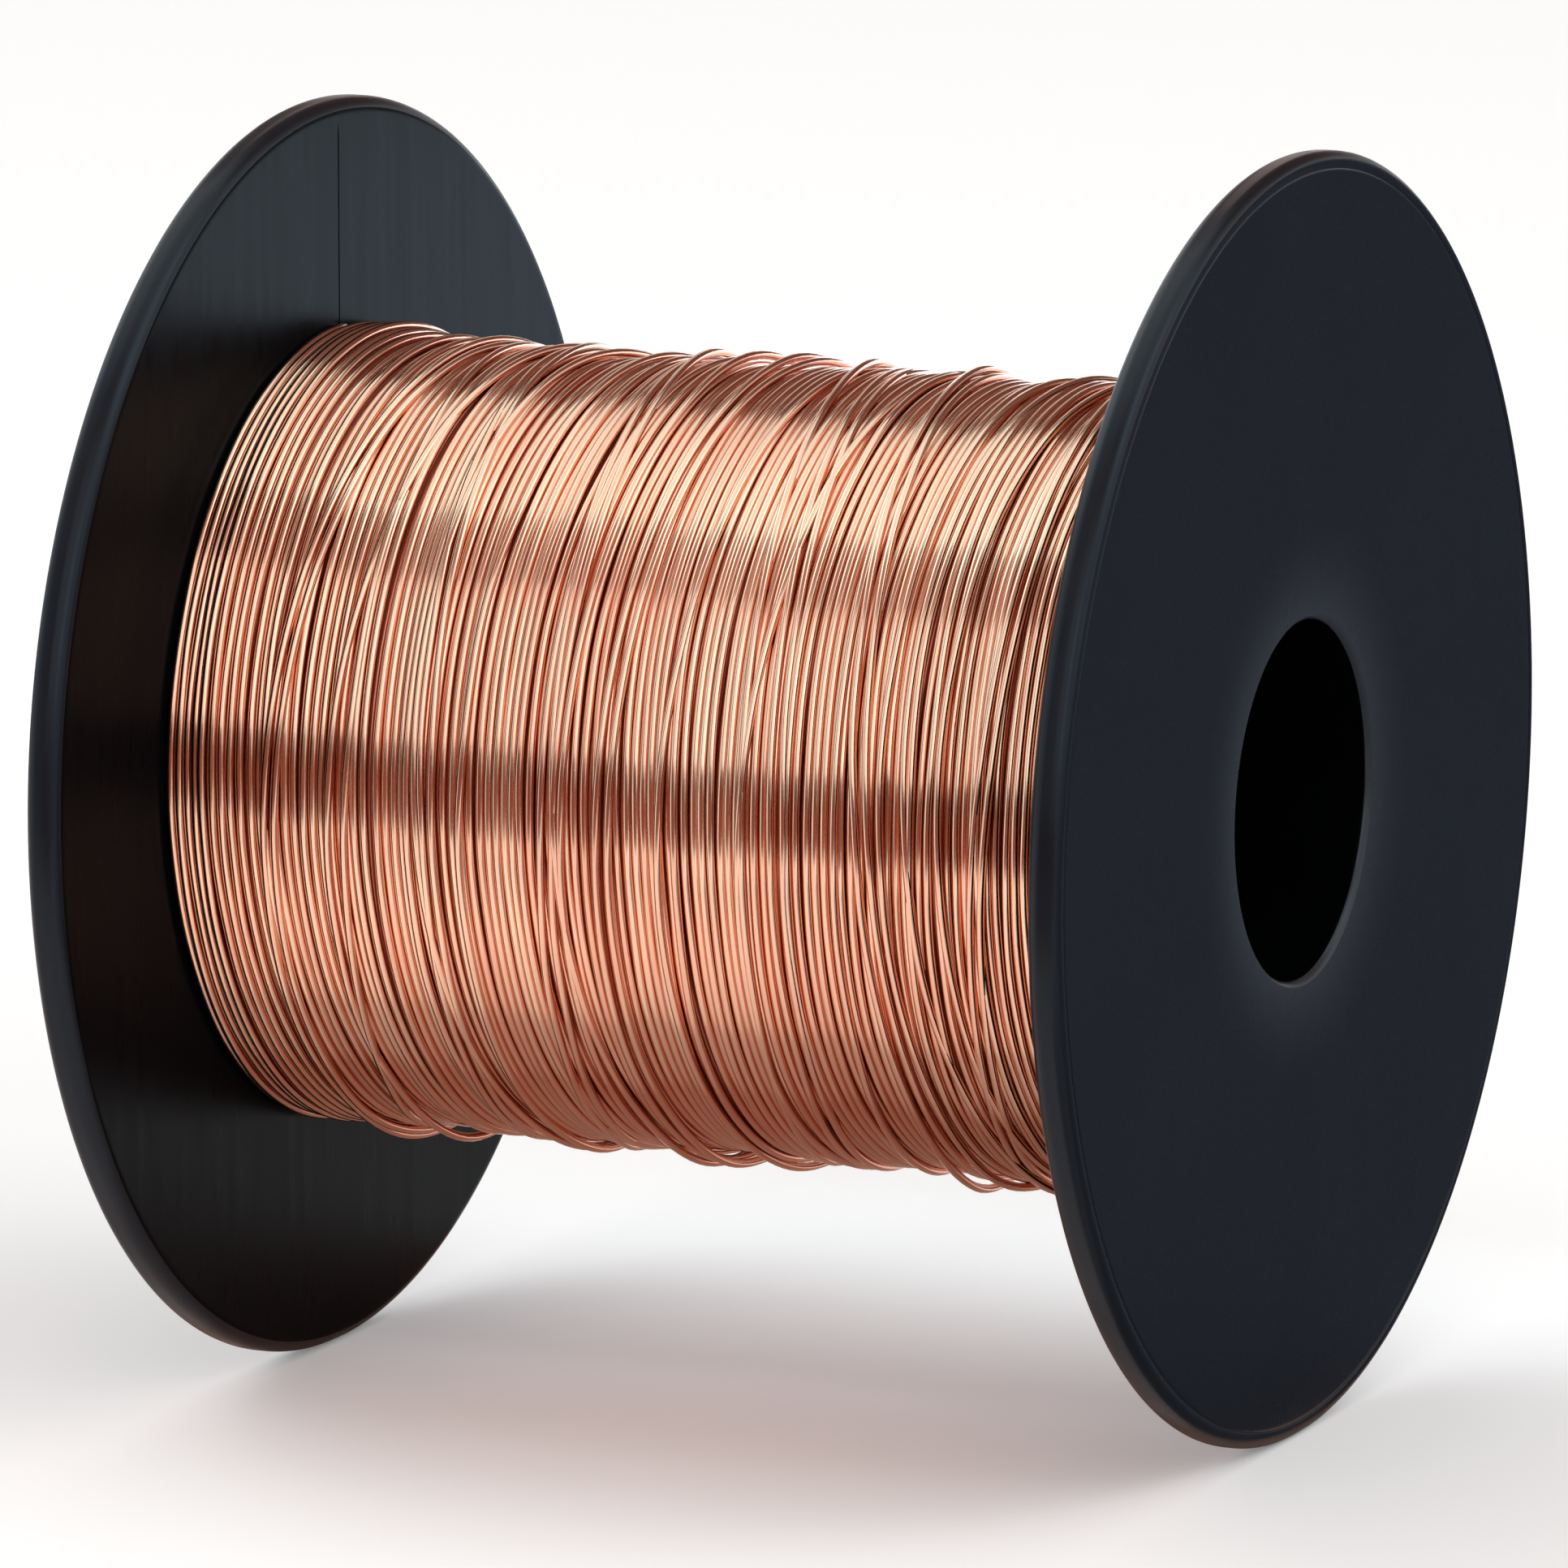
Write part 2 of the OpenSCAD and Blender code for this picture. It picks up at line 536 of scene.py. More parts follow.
@dataclass(frozen=True)
class ScuffedSheenPlastic(MouldedPlastic):
    """The flanges' duller inside, which the wire scuffs in short upright strokes; the strokes' bluish
    colour is also a painted sheen.

    Args:
        scuffs_and_sheen: colour that the scuffs add, partly scuff marks and partly a painted sheen.
        barrel: radius of the barrel, inside which there are none.
    """

    scuffs_and_sheen: Colour
    barrel: float

    def strokes(self, skin: Skin) -> Socket:
        """The strokes' pattern: noise drawn out upright."""
        upright = skin.stretched(skin.coordinates["Object"], (1, 1, 0.07))
        return skin.noise(upright, scale=900)

    def gloss(self, skin: Skin) -> Socket:
        """The skin's roughness, which changes from stroke to stroke."""
        return skin.ranged(self.strokes(skin), 0.3, 0.7, self.roughness - 0.05, self.roughness + 0.05)

    def colour(self, skin: Skin) -> Socket:
        """The skin's colour, plus the scuffs outside the barrel, which also carry a painted sheen.

        Args:
            skin: the node tree that the pattern goes into.

        Returns:
            The colour.
        """
        strokes = skin.ranged(self.strokes(skin), 0.3, 0.8, 0.75, 1.25)
        outside = skin.ranged(skin.reach(), self.barrel, self.barrel + 1 * MM)
        # The scuffs' bluish colour: partly scuff marks, partly a painted sheen.
        scuffs = skin.reckoned("MULTIPLY", strokes, outside)
        return skin.added(super().colour(skin), scuffs, self.scuffs_and_sheen)


@dataclass(frozen=True)
class DrawnCopper:
    """Bright drawn copper wire: die lines along it, small nicks and a tone that drifts along it.

    The colour goes from bright on the outside of a wire that lies in a winding to redder on its
    sides and underside, between the turns: partly oxide there and partly painted shade.

    Args:
        oxide_and_shade: colour on the wire's sides and underside, partly oxide and partly painted shade.
        dark: colour on its outside where it is a little tarnished.
        light: colour on its outside where it is bright.
        roughness: middle roughness of the wire.
        metallic: the shader's metallic value; less than 1 where a layer of oxide covers the metal.
    """

    oxide_and_shade: Colour
    dark: Colour
    light: Colour
    roughness: float
    metallic: float

    def material(self, name: str) -> bpy.types.Material:
        """Builds the node material.

        Args:
            name: the material's name.

        Returns:
            The material.
        """
        skin = Skin(name)
        lay, place = skin.coordinates["UV"], skin.coordinates["Object"]
        drift = skin.noise(skin.stretched(lay, (26, 0.4, 0)), scale=1)
        lines = skin.noise(skin.stretched(lay, (45, 11, 0)), scale=1)
        nicks = skin.noise(skin.stretched(lay, (900, 4, 0)), scale=1, detail=2)
        tone = skin.reckoned("ADD", drift, skin.noise(place, scale=45))
        outside = skin.blend(skin.ranged(tone, 0.75, 1.25), self.dark, self.light)
        turned = skin.join(lay, skin.add("SeparateXYZ"), 0).outputs["Y"]
        # Sides and underside get the redder colour: partly oxide, partly painted shade between the turns.
        skin.shade("Base Color", skin.blend(skin.ranged(turned, 0.45, 0.85), self.oxide_and_shade, outside))
        skin.shade("Roughness", skin.ranged(lines, 0.3, 0.7, self.roughness - 0.04, self.roughness + 0.05))
        skin.fixed("Metallic", self.metallic)
        grooves = skin.bump(lines, 0.01 * MM, strength=0.15)
        dents = skin.bump(skin.ranged(nicks, 0.72, 0.8), 0.01 * MM, strength=0.3, base=grooves)
        skin.shade("Normal", dents)
        return skin.material


@dataclass(frozen=True)
class Paper:
    """Plain matt paper or card for the studio.

    Args:
        colour: its colour.
        roughness: its roughness.
        glow: white that it adds to its own look; it lights nothing.
    """

    colour: Colour
    roughness: float = 1.0
    glow: float = 0.0

    def material(self, name: str) -> bpy.types.Material:
        """Builds the node material.

        Args:
            name: the material's name.

        Returns:
            The material.
        """
        skin = Skin(name)
        skin.fixed("Base Color", (*self.colour, 1))
        skin.fixed("Roughness", self.roughness)
        skin.fixed("Specular IOR Level", 0.0)
        if self.glow:
            skin.fixed("Emission Color", (1, 1, 1, 1))
            skin.shade("Emission Strength", skin.ranged(skin.shown(), 0, 1, 0, self.glow))
        return skin.material


FLANGE_OUTSIDE = SheenRingPlastic(
    dark=(0.0064, 0.0075, 0.0102),
    light=(0.0076, 0.0089, 0.0120),
    roughness=0.27,
    grain=0.003 * MM,
    specular=0.30,
    tint=(0.70, 0.84, 1.0),
    # Colour of the painted sheen round the spindle hole.
    painted_sheen=(0.0180, 0.0205, 0.0245),
    hole=11.6 * MM,
    sheen_width=6.5 * MM,
)
# Inner faces, spigot and bore: the same plastic with colours about ten times darker than the outside's, as
# painted shade.
SHADED_FLANGE_INSIDE = ScuffedSheenPlastic(
    dark=(0.0006, 0.0009, 0.0013),
    light=(0.0009, 0.0013, 0.0018),
    roughness=0.30,
    grain=0.003 * MM,
    specular=0.03,
    tint=(0.70, 0.84, 1.0),
    # Bluish scuffs: partly scuff marks, partly a painted sheen.
    scuffs_and_sheen=(0.0005, 0.0009, 0.0014),
    barrel=15.0 * MM,
)
FLANGE_RIM = MouldedPlastic(
    dark=(0.0064, 0.0075, 0.0102),
    light=(0.0076, 0.0089, 0.0120),
    roughness=0.30,
    grain=0.003 * MM,
    specular=0.28,
    tint=(0.58, 0.79, 1.0),
)
BARREL_PLASTIC = MouldedPlastic(
    dark=(0.0060, 0.0066, 0.0080),
    light=(0.0080, 0.0088, 0.0105),
    roughness=0.50,
    grain=0.006 * MM,
    specular=0.2,
    tint=(0.80, 0.90, 1.0),
)
BRIGHT_COPPER = DrawnCopper(
    # Redder sides and underside: partly oxide, partly painted shade.
    oxide_and_shade=(0.84, 0.36, 0.24),
    dark=(0.80, 0.49, 0.36),
    light=(0.93, 0.735, 0.565),
    roughness=0.16,
    metallic=1.0,
)
# Layers below the outermost one: the copper painted darker and redder, as painted shade for their depth.
SHADED_COPPER = DrawnCopper(
    oxide_and_shade=(0.68, 0.22, 0.14),
    dark=(0.74, 0.27, 0.17),
    light=(0.80, 0.33, 0.22),
    roughness=0.30,
    metallic=0.75,
)


def finish_piece(
    piece: bpy.types.Object, materials: list[bpy.types.Material], replaced: list[str]
) -> None:
    """Dresses a new piece, hangs it on the body's empty and hides the CAD nodes that it stands for.

    Args:
        piece: the new object.
        materials: its materials, in the order of its faces' finish numbers.
        replaced: the CAD nodes that the piece stands for, if any.
    """
    for material in materials:
        piece.data.materials.append(material)
    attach(piece, BODY)
    if replaced:
        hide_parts(*replaced)
    log.info("%s: %d points, %d faces", piece.name, len(piece.data.vertices), len(piece.data.polygons))


def dress_node(name: str, material: bpy.types.Material) -> None:
    """Gives a CAD node a new material and leaves its mesh alone.

    Args:
        name: the node's name.
        material: its new material.
    """
    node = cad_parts[name]
    node.data.materials.clear()
    node.data.materials.append(material)
    log.info("%s: CAD node, dressed", name)


# ---------------------------------------------------------------- the spool


class Side(Enum):
    """Which end of the spool a flange is on, as the sign of its outer face's X direction."""

    LEFT = -1
    RIGHT = 1


@dataclass
class FlangeMoulding:
    """One flange: a disc with a rounded rim, a dipped lip round the hole and a spigot.

    Args:
        side: which end of the spool it is on.
        thickness: of the disc.
        rim_rounding: radius of the rim's outer edge.
        inner_rounding: radius of its inner edge.
        bore: radius of the spindle hole.
        lip: radius of the hole's lip.
        dip_width: width of the soft dip around the lip.
        dip_radius: radius of the arc that the dip follows.
        spigot: outside radius of the spigot in the barrel.
        spigot_length: how far the spigot reaches in.
        lead_in: chamfer at the spigot's end.
        key: width, length and height of each key on the spigot.
        keys: number of keys.
        edge_line: depth of the fine line that runs round just inside the rim.
        sink: height of the slow waves that cooling leaves in the outer face.
        seam: place in Y, half width and height of the mould's seam on the inner face, if it has one.
        steps: points around the disc.
    """

    side: Side
    thickness: float = 2.2 * MM
    rim_rounding: float = 0.7 * MM
    inner_rounding: float = 1.0 * MM
    bore: float = 11.15 * MM
    lip: float = 0.6 * MM
    dip_width: float = 3.5 * MM
    dip_radius: float = 45.0 * MM
    spigot: float = 13.1 * MM
    spigot_length: float = 9.0 * MM
    lead_in: float = 0.6 * MM
    key: tuple[float, float, float] = (3.0 * MM, 3.5 * MM, 0.9 * MM)
    keys: int = 3
    edge_line: float = 0.05 * MM
    sink: float = 0.006 * MM
    seam: tuple[float, float, float] | None = None
    steps: int = 288

    def __post_init__(self) -> None:
        """Takes the disc's radius and place from the CAD node."""
        low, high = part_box(self.node)
        self.radius = high.z
        self.outer_x = high.x if self.side is Side.RIGHT else low.x
        self.inner_x = self.outer_x - self.side.value * self.thickness

    @property
    def node(self) -> str:
        """Name of the CAD node that the moulding stands for."""
        return self.side.name.lower() + "_flange"

    def outline(self) -> tuple[Array, Array]:
        """Works out the half section as a closed line.

        The first value is the distance from the axis, and the second the distance outwards from
        the disc's inner face. The lip is an arc that touches the bore wall and the dip's arc, and
        the dip's arc touches the outer face.

        Returns:
            The points, and for each point whether it is a hard corner.
        """
        lip_r, dip_r = self.bore + self.lip, self.bore + self.lip + self.dip_width
        dip_y = self.thickness - self.dip_radius
        lip_y = dip_y + math.sqrt((self.dip_radius - self.lip) ** 2 - self.dip_width**2)
        touch = math.degrees(math.atan2(lip_y - dip_y, lip_r - dip_r))
        rim, inner_rim = self.radius - self.rim_rounding, self.radius - self.inner_rounding
        margin, shoulder, fillet = 0.15 * MM, 0.08 * MM, 0.3 * MM
        line_inset, line_half_width = 0.34 * MM, 0.10 * MM
        line = rim - line_inset + line_half_width * np.array([-1, -0.5, 0, 0.5, 1])
        line_depth = self.edge_line * np.array([0, 0.7, 1, 0.7, 0])
        hub = self.spigot + fillet
        outer_face = np.linspace(dip_r + margin, line[0] - margin, 9)
        inner_face = np.linspace(inner_rim - 2 * margin, hub, 10)
        parts = [
            np.array([[self.bore, -self.spigot_length], [self.bore, lip_y - margin]]),
            arc((lip_r, lip_y), self.lip, 180, touch, 8),
            arc((dip_r, dip_y), self.dip_radius, touch, 90, 14)[1:],
            np.stack([outer_face, np.full_like(outer_face, self.thickness)], -1),
            np.stack([line, self.thickness - line_depth], -1),
            np.array([[rim - shoulder, self.thickness]]),
            arc((rim, self.thickness - self.rim_rounding), self.rim_rounding, 90, 0, 9),
            arc((inner_rim, self.inner_rounding), self.inner_rounding, 0, -90, 11),
            np.array([[inner_rim - margin, 0]]),
            np.stack([inner_face, np.zeros_like(inner_face)], -1),
            arc((hub, -fillet), fillet, 90, 180, 4)[1:],
            np.array([[self.spigot, self.lead_in - self.spigot_length]]),
            np.array([[self.spigot - self.lead_in, -self.spigot_length]]),
        ]
        points = np.concatenate(parts)
        hard = np.zeros(len(points), bool)
        hard[[0, -1, -2]] = True
        return points, hard

    def surface(self) -> Surface:
        """Turns the half section round the axis, and adds the keys.

        A point of the section at angle a lies at its own distance from the axis in the direction
        of a. The outer face sinks in slow waves, two and three of them round the disc, as a cooled
        moulding does.

        Returns:
            The closed surface.
        """
        section, hard = self.outline()
        angle = np.linspace(0, 2 * np.pi, self.steps, endpoint=False)
        r, y = section[:, 0][None, :], section[:, 1][None, :]
        two, three = np.sin(2 * angle + 0.7)[:, None], np.sin(3 * angle - 1.1)[:, None]
        waves = 2 + two + three * (r / self.radius)
        on_face = np.clip((r - self.spigot) / (self.radius - self.spigot), 0, 1) * (y > self.rim_rounding)
        sink = self.sink * waves * on_face * (r < self.radius - self.rim_rounding)
        x = self.inner_x + self.side.value * (y - sink)
        points = around(r, angle[:, None], x).reshape(-1, 3)
        lines = np.where(hard, np.arange(len(hard)), -1)
        disc = Surface(
            points,
            grid_quads(self.steps, len(section), True, True),
            uv=np.zeros((len(points), 2)),
            sharp=np.tile(lines, self.steps),
        ).outward()
        extras = [self.key_block(i) for i in range(self.keys)]
        if self.seam:
            extras.append(self.seam_ridge(*self.seam))
        return joined([disc, *extras])

    def seam_ridge(self, place: float, half_width: float, height: float, rows: int = 24) -> Surface:
        """The fine ridge that the mould's joint leaves on the inner face, from the hub to the rim.

        Its section is a low triangle with a narrow flat top, carried straight up the face, and it
        dies away over the last millimetre.

        Args:
            place: where it lies in Y.
            half_width: half the width of its foot.
            height: how far it stands up.
            rows: points along it.

        Returns:
            The closed ridge.
        """
        top = math.sqrt((self.radius - 1.6 * self.rim_rounding) ** 2 - place**2)
        z = np.linspace(self.spigot + 2 * MM, top, rows)[:, None]
        y = place + half_width * np.array([-1, -0.15, 0.15, 1])
        up = height * np.array([-0.2, 1, 1, -0.2]) * np.clip((top - z) / MM, 0, 1) ** 0.5
        x = self.inner_x - self.side.value * (up - 0.1 * height)
        points = np.stack(np.broadcast_arrays(x, y[None, :], z), -1).reshape(-1, 3)
        corner = np.arange(4)
        ends = np.array([corner[::-1], corner + len(points) - 4])
        quads = np.concatenate([grid_quads(rows, 4, False, True), ends])
        return Surface(points, quads, uv=np.zeros((len(points), 2))).outward()

    def key_block(self, index: int) -> Surface:
        """One key on the spigot, which stops the moulding from turning in the barrel.

        Args:
            index: its number, counted round the spigot from the bottom.

        Returns:
            The closed block.
        """
        width, length, height = self.key
        off_disc, sunk = 0.02 * MM, 0.2 * MM
        inside = self.inner_x - self.side.value * length
        low, high = sorted((inside, self.inner_x - self.side.value * off_disc))
        block = box((low, -width / 2, self.spigot - sunk), (high, width / 2, self.spigot + height))
        turn = math.pi + 2 * math.pi * index / self.keys
        block.points = block.points @ np.array(Matrix.Rotation(turn, 3, "X")).T
        block.uv = np.zeros((8, 2))
        return block

    def build(self, skins: list[bpy.types.Material]) -> None:
        """Makes the moulding in place of its CAD node.

        Args:
            skins: the materials of the outer face, of all that faces inwards, which is painted darker as
                painted shade, and of the rim.
        """
        piece = self.surface().to_object(self.side.name.lower() + "_flange_moulding")
        centres = np.zeros(len(piece.data.polygons) * 3, np.float32)
        piece.data.polygons.foreach_get("center", centres)
        x, y, z = centres.reshape(-1, 3).T
        reach = np.hypot(y, z)
        inwards = self.side.value * (x - self.inner_x) < 0.1 * MM
        in_bore = reach < self.bore + 0.05 * MM
        # What faces inwards and the bore get the darker copy of the plastic: painted shade.
        skin = np.where(reach > self.radius - self.rim_rounding, 2, inwards | in_bore)
        finish_piece(piece, skins, [self.node])
        piece.data.polygons.foreach_set("material_index", skin.astype(np.int32))
        piece.data.update()


@dataclass
class WireWinding:
    """The copper wire: packed layers, the layer below the outermost one, the outermost layer,
    the turns that cross over it and the tucked end.

    Args:
        wire: diameter of the wire.
        over: radius over the winding, away from its ends.
        barrel: outside radius of the barrel.
        turns: turns in the outermost layer.
        steps: points along each of those turns.
        sides: points around the wire in that layer and in the crossing turns.
        pressed: the wire's swell in that layer, whose turns press into each other a little.
        gaps: number of places where neighbouring turns part.
        widest: how far they part at most.
        humps: number of places where the wire rides up on its neighbours.
        highest: how far it rides up at most.
        under_turns: turns in the layer below.
        under_steps: points along each of those turns.
        under_sides: points around the wire there.
        under_depth: how many wires deep its middle lies under the winding's outside.
        core_depth: how many wires deep the solid ring starts that stands for the layers below that.
        crossings: number of places where a turn crosses over the layer.
        slants: least and greatest lean of a crossing turn, in degrees.
        starts: least and greatest angle at which it comes up, in degrees.
        sweeps: least and greatest angle that it goes round, in degrees.
        dive: angle over which it goes down at each end, in degrees.
        loosest: how far it stands off the layer at most.
        slack_places: the two angles near which it may do so, in degrees.
        slack_odds: the share of crossing turns that does so at each of the two.
        slack_shares: the share of the loosest height that goes with each of the two.
        slack_reach: half the angle over which it stands off, in degrees.
        climb: how much higher the winding stands at the left flange, on average.
        climb_length: length over which that dies away.
        seed: seed of every random draw.
    """

    wire: float = 0.56 * MM
    over: float = 24.6 * MM
    barrel: float = 15.0 * MM
    turns: int = 107
    steps: int = 144
    sides: int = 8
    pressed: float = 1.045
    gaps: int = 240
    widest: float = 0.38 * MM
    humps: int = 260
    highest: float = 0.3 * MM
    under_turns: int = 110
    under_steps: int = 96
    under_sides: int = 6
    under_depth: float = 1.37
    core_depth: float = 1.9
    crossings: int = 22
    slants: tuple[float, float] = (1.8, 7.0)
    starts: tuple[float, float] = (205.0, 255.0)
    sweeps: tuple[float, float] = (285.0, 340.0)
    dive: float = 16.0
    loosest: float = 0.8 * MM
    slack_places: tuple[float, float] = (-11.0, 169.0)
    slack_odds: tuple[float, float] = (0.4, 0.55)
    slack_shares: tuple[float, float] = (0.65, 1.0)
    slack_reach: float = 17.0
    climb: float = 0.75 * MM
    climb_length: float = 6.0 * MM
    seed: int = 7

    def __post_init__(self) -> None:
        """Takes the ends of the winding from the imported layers' CAD node."""
        low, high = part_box("wire_packed_layers")
        self.left, self.right = low.x, high.x
        self.draws = np.random.default_rng(self.seed)

    def radius_over(self, x: Array, angle: Array) -> Array:
        """Radius over the winding: over + climb * bell along the axis * (1 + 0.8 cos(angle - 0.35))."""
        bell = np.exp(-(((x - self.left) / self.climb_length) ** 2))
        return self.over + self.climb * bell * (1 + 0.8 * np.cos(angle - 0.35))

    def kept_inside(self, x: Array) -> Array:
        """Holds the wire's middle off the flanges by at least its radius."""
        return np.clip(x, self.left + self.wire / 2, self.right - self.wire / 2)

    def ripples(self, run: Array, length: float, height: float, count: int = 5) -> Array:
        """Small kinks along a wire: a sum of sine waves of about one length and random phase.

        Args:
            run: the place along the wire, in metres.
            length: the middle wave length.
            height: the most that the sum departs from zero.
            count: number of waves.

        Returns:
            The departure at each place.
        """
        lengths = length * self.draws.uniform(0.6, 1.7, count)
        phases = self.draws.uniform(0, 2 * np.pi, count)
        slow = 0.5 + 0.5 * np.sin(2 * np.pi * run / (11.3 * length) + phases[0])
        waves = np.sin(2 * np.pi * run[..., None] / lengths + phases).sum(-1)
        return height / count * waves * slow

    def bells(self, turn: Array, count: int, shortest: float, longest: float, tallest: float) -> Array:
        """A sum of bell curves at random places along the wire, most of them low.

        Args:
            turn: the place along the wire, counted in turns.
            count: number of bells.
            shortest: half length of the shortest bell, in turns.
            longest: half length of the longest bell, in turns.
            tallest: height of the tallest bell.

        Returns:
            The sum at each place.
        """
        place = self.draws.uniform(1.0, self.turns - 1.5, count)
        reach = self.draws.uniform(shortest, longest, count)
        height = tallest * self.draws.uniform(0.1, 1.0, count) ** 1.5
        return (np.exp(-(((turn[..., None] - place) / reach) ** 2)) * height).sum(-1)

    def outer_path(self) -> Array:
        """The middle of the outermost layer's wire.

        The wire rides up by a random height here and there, and its radius and its place along the
        axis also waver a little. A place on turn k lies to the right of the same place on turn
        k - 1 by sqrt(diameter^2 - difference in height^2), so that the two touch, plus a gap. The
        turns never run into each other, and a parting carries on to every turn beyond it. The gaps
        at each angle are scaled so that the layer just fills the length between the flanges, and
        the partings grow wider towards the right flange.

        Returns:
            The points, in order along the wire.
        """
        count = self.turns * self.steps
        turn = (np.arange(count) / self.steps).reshape(self.turns, self.steps)
        height = np.minimum(self.bells(turn, self.humps, 0.08, 0.6, self.highest), 0.8 * self.wire)
        touching = np.sqrt(self.wire**2 - np.diff(height, axis=0) ** 2)
        least = 0.003 * MM
        gap = least + self.bells(turn, self.gaps, 0.04, 0.22, self.widest)[:-1]
        gap = gap * (0.55 + 0.45 * turn[:-1] / self.turns)
        pitch = (self.right - self.left - self.wire) / self.turns
        wanted = pitch * (self.turns - 1) - touching.sum(0)
        spacing = touching + gap * wanted / gap.sum(0)
        first = self.left + self.wire / 2 + pitch * np.arange(self.steps) / self.steps
        x = first + np.concatenate([np.zeros((1, self.steps)), np.cumsum(spacing, 0)])
        x, turn, height = x.ravel(), turn.ravel(), height.ravel()
        angle = 2 * np.pi * turn
        run = angle * self.over
        settled = 0.08 * MM
        radius = self.radius_over(x, angle) - self.wire / 2 - settled + height
        radius = radius + self.ripples(run, 11 * MM, 0.05 * MM) + self.ripples(run, 40 * MM, 0.09 * MM)
        x = self.kept_inside(x + self.ripples(run, 14 * MM, 0.05 * MM))
        return around(radius, angle, x)

    def under_path(self) -> Array:
        """The middle of the wire one layer down, which runs back the other way.

        It is a plain helix, packed close, with slow waves along it, and lies in the grooves one
        layer below the outermost one.

        Returns:
            The points, in order along the wire.
        """
        turn = np.arange(self.under_turns * self.under_steps) / self.under_steps
        angle = -2 * np.pi * turn
        x = self.left + self.wire / 2 + (self.right - self.left - self.wire) * turn / self.under_turns
        run = turn * self.over * 6  # nearly the length of wire so far
        x = x + self.ripples(run, 60 * MM, 0.12 * MM)
        radius = self.radius_over(x, angle) - self.under_depth * self.wire
        return around(radius, angle, x)

    def strand_path(
        self, x: float, slant: float, start: float, sweep: float, slack: Array, phase: float
    ) -> Array:
        """The middle of one turn of wire that crosses over the outermost layer.

        It leans over the layer by the slant: its place along the axis is x + radius * sin(slant) *
        cos(angle - phase). It rests on the layer, 0.3 wires above the winding's radius, goes down
        by 1.1 wires to be out of sight between the turns at its two ends, and stands off the layer
        by a bell curve at each slack place.

        Args:
            x: where along the axis it lies on average.
            slant: its lean, in degrees.
            start: angle at which it comes up, in degrees.
            sweep: how far round it goes, in degrees.
            slack: rows of the angle, in degrees, and the height of each slack place.
            phase: angle at which it lies furthest to the right, in degrees.

        Returns:
            The points, in order along the wire.
        """
        angle = np.radians(np.linspace(start, start + sweep, int(sweep * self.steps / 360) + 1))
        lean = self.over * math.sin(math.radians(slant))
        along = x + lean * np.cos(angle - math.radians(phase))
        along = self.kept_inside(along + self.ripples(angle * self.over, 17 * MM, 0.12 * MM))
        to_end = np.minimum(angle - angle[0], angle[-1] - angle)
        depth = np.clip(1 - to_end / math.radians(self.dive), 0, 1) ** 2
        radius = self.radius_over(along, angle) + self.wire * (0.30 - 1.1 * depth)
        apart = (np.degrees(angle)[:, None] - slack[None, :, 0] + 180) % 360 - 180
        radius = radius + (slack[None, :, 1] * np.exp(-((apart / self.slack_reach) ** 2))).sum(-1)
        return around(radius, angle, along)

    def crossing_strands(self) -> list[Array]:
        """Works out the crossing turns: unevenly spread, each with its own lean, length and slack.

        Every third one has a second one close beside it. There are none close to the flanges.

        Returns:
            The path of each one.
        """
        clear_left, clear_right, scatter = 9.5 * MM, 3.5 * MM, 1.6
        places = np.linspace(self.left + clear_left, self.right - clear_right, self.crossings)
        places = places + self.draws.uniform(-scatter, scatter, self.crossings) * MM
        paths = []
        for i, x in enumerate(places):
            slant = self.draws.uniform(*self.slants) * self.draws.choice([-1, 1])
            phase = self.draws.uniform(40, 140)
            start = self.draws.uniform(*self.starts)
            sweep = self.draws.uniform(*self.sweeps)
            for beside in range(2 if i % 3 == 0 else 1):
                place = np.array(self.slack_places) + self.draws.uniform(-12, 12, 2)
                loose = (self.draws.uniform(0, 1, 2) < self.slack_odds) * np.array(self.slack_shares)
                height = self.loosest * self.draws.uniform(0.3, 1, 2) * loose
                moved = x + beside * self.draws.uniform(1.05, 1.6) * self.wire
                slack = np.stack([place, height], -1)
                paths.append(self.strand_path(moved, slant, start + 9 * beside, sweep, slack, phase))
        return paths

    def core(self) -> Surface:
        """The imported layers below: a ring that fills the space down to the barrel.

        Its outline is a rectangle whose outer side follows the winding's own climb.

        Returns:
            The closed ring.
        """
        rows, steps = 33, 96
        along = self.left + (self.right - self.left) * np.linspace(0, 1, rows) ** 2
        angle = np.linspace(0, 2 * np.pi, steps, endpoint=False)[:, None]
        outside = self.radius_over(along[None, :], angle) - self.core_depth * self.wire
        ends = np.full((steps, 1), self.barrel)
        radius = np.concatenate([ends, outside, ends], 1)
        x = np.concatenate([[self.left], along, [self.right]])
        points = around(radius, angle, x[None, :]).reshape(-1, 3)
        corner = np.full(len(x), -1)
        corner[[0, 1, -2, -1]] = [0, 1, 2, 3]
        lay = np.stack([points[:, 1], points[:, 0]], -1)
        quads = grid_quads(steps, len(x), True, True)
        return Surface(points, quads, uv=lay, sharp=np.tile(corner, steps)).outward()

    def wire_piece(self, name: str, paths: list[Array], sides: int, swell: float) -> bpy.types.Object:
        """Makes one object of one or more lengths of wire.

        Args:
            name: the object's name.
            paths: the middle of each length.
            sides: number of points around the wire.
            swell: how many times its own diameter it has there.

        Returns:
            The new object.
        """
        tubes = []
        for path in paths:
            away = path * np.array([0, 1, 1])
            away = away / np.linalg.norm(away, axis=1, keepdims=True)
            tubes.append(tube(path, away, swell * self.wire / 2, sides))
        return joined(tubes).to_object(name)

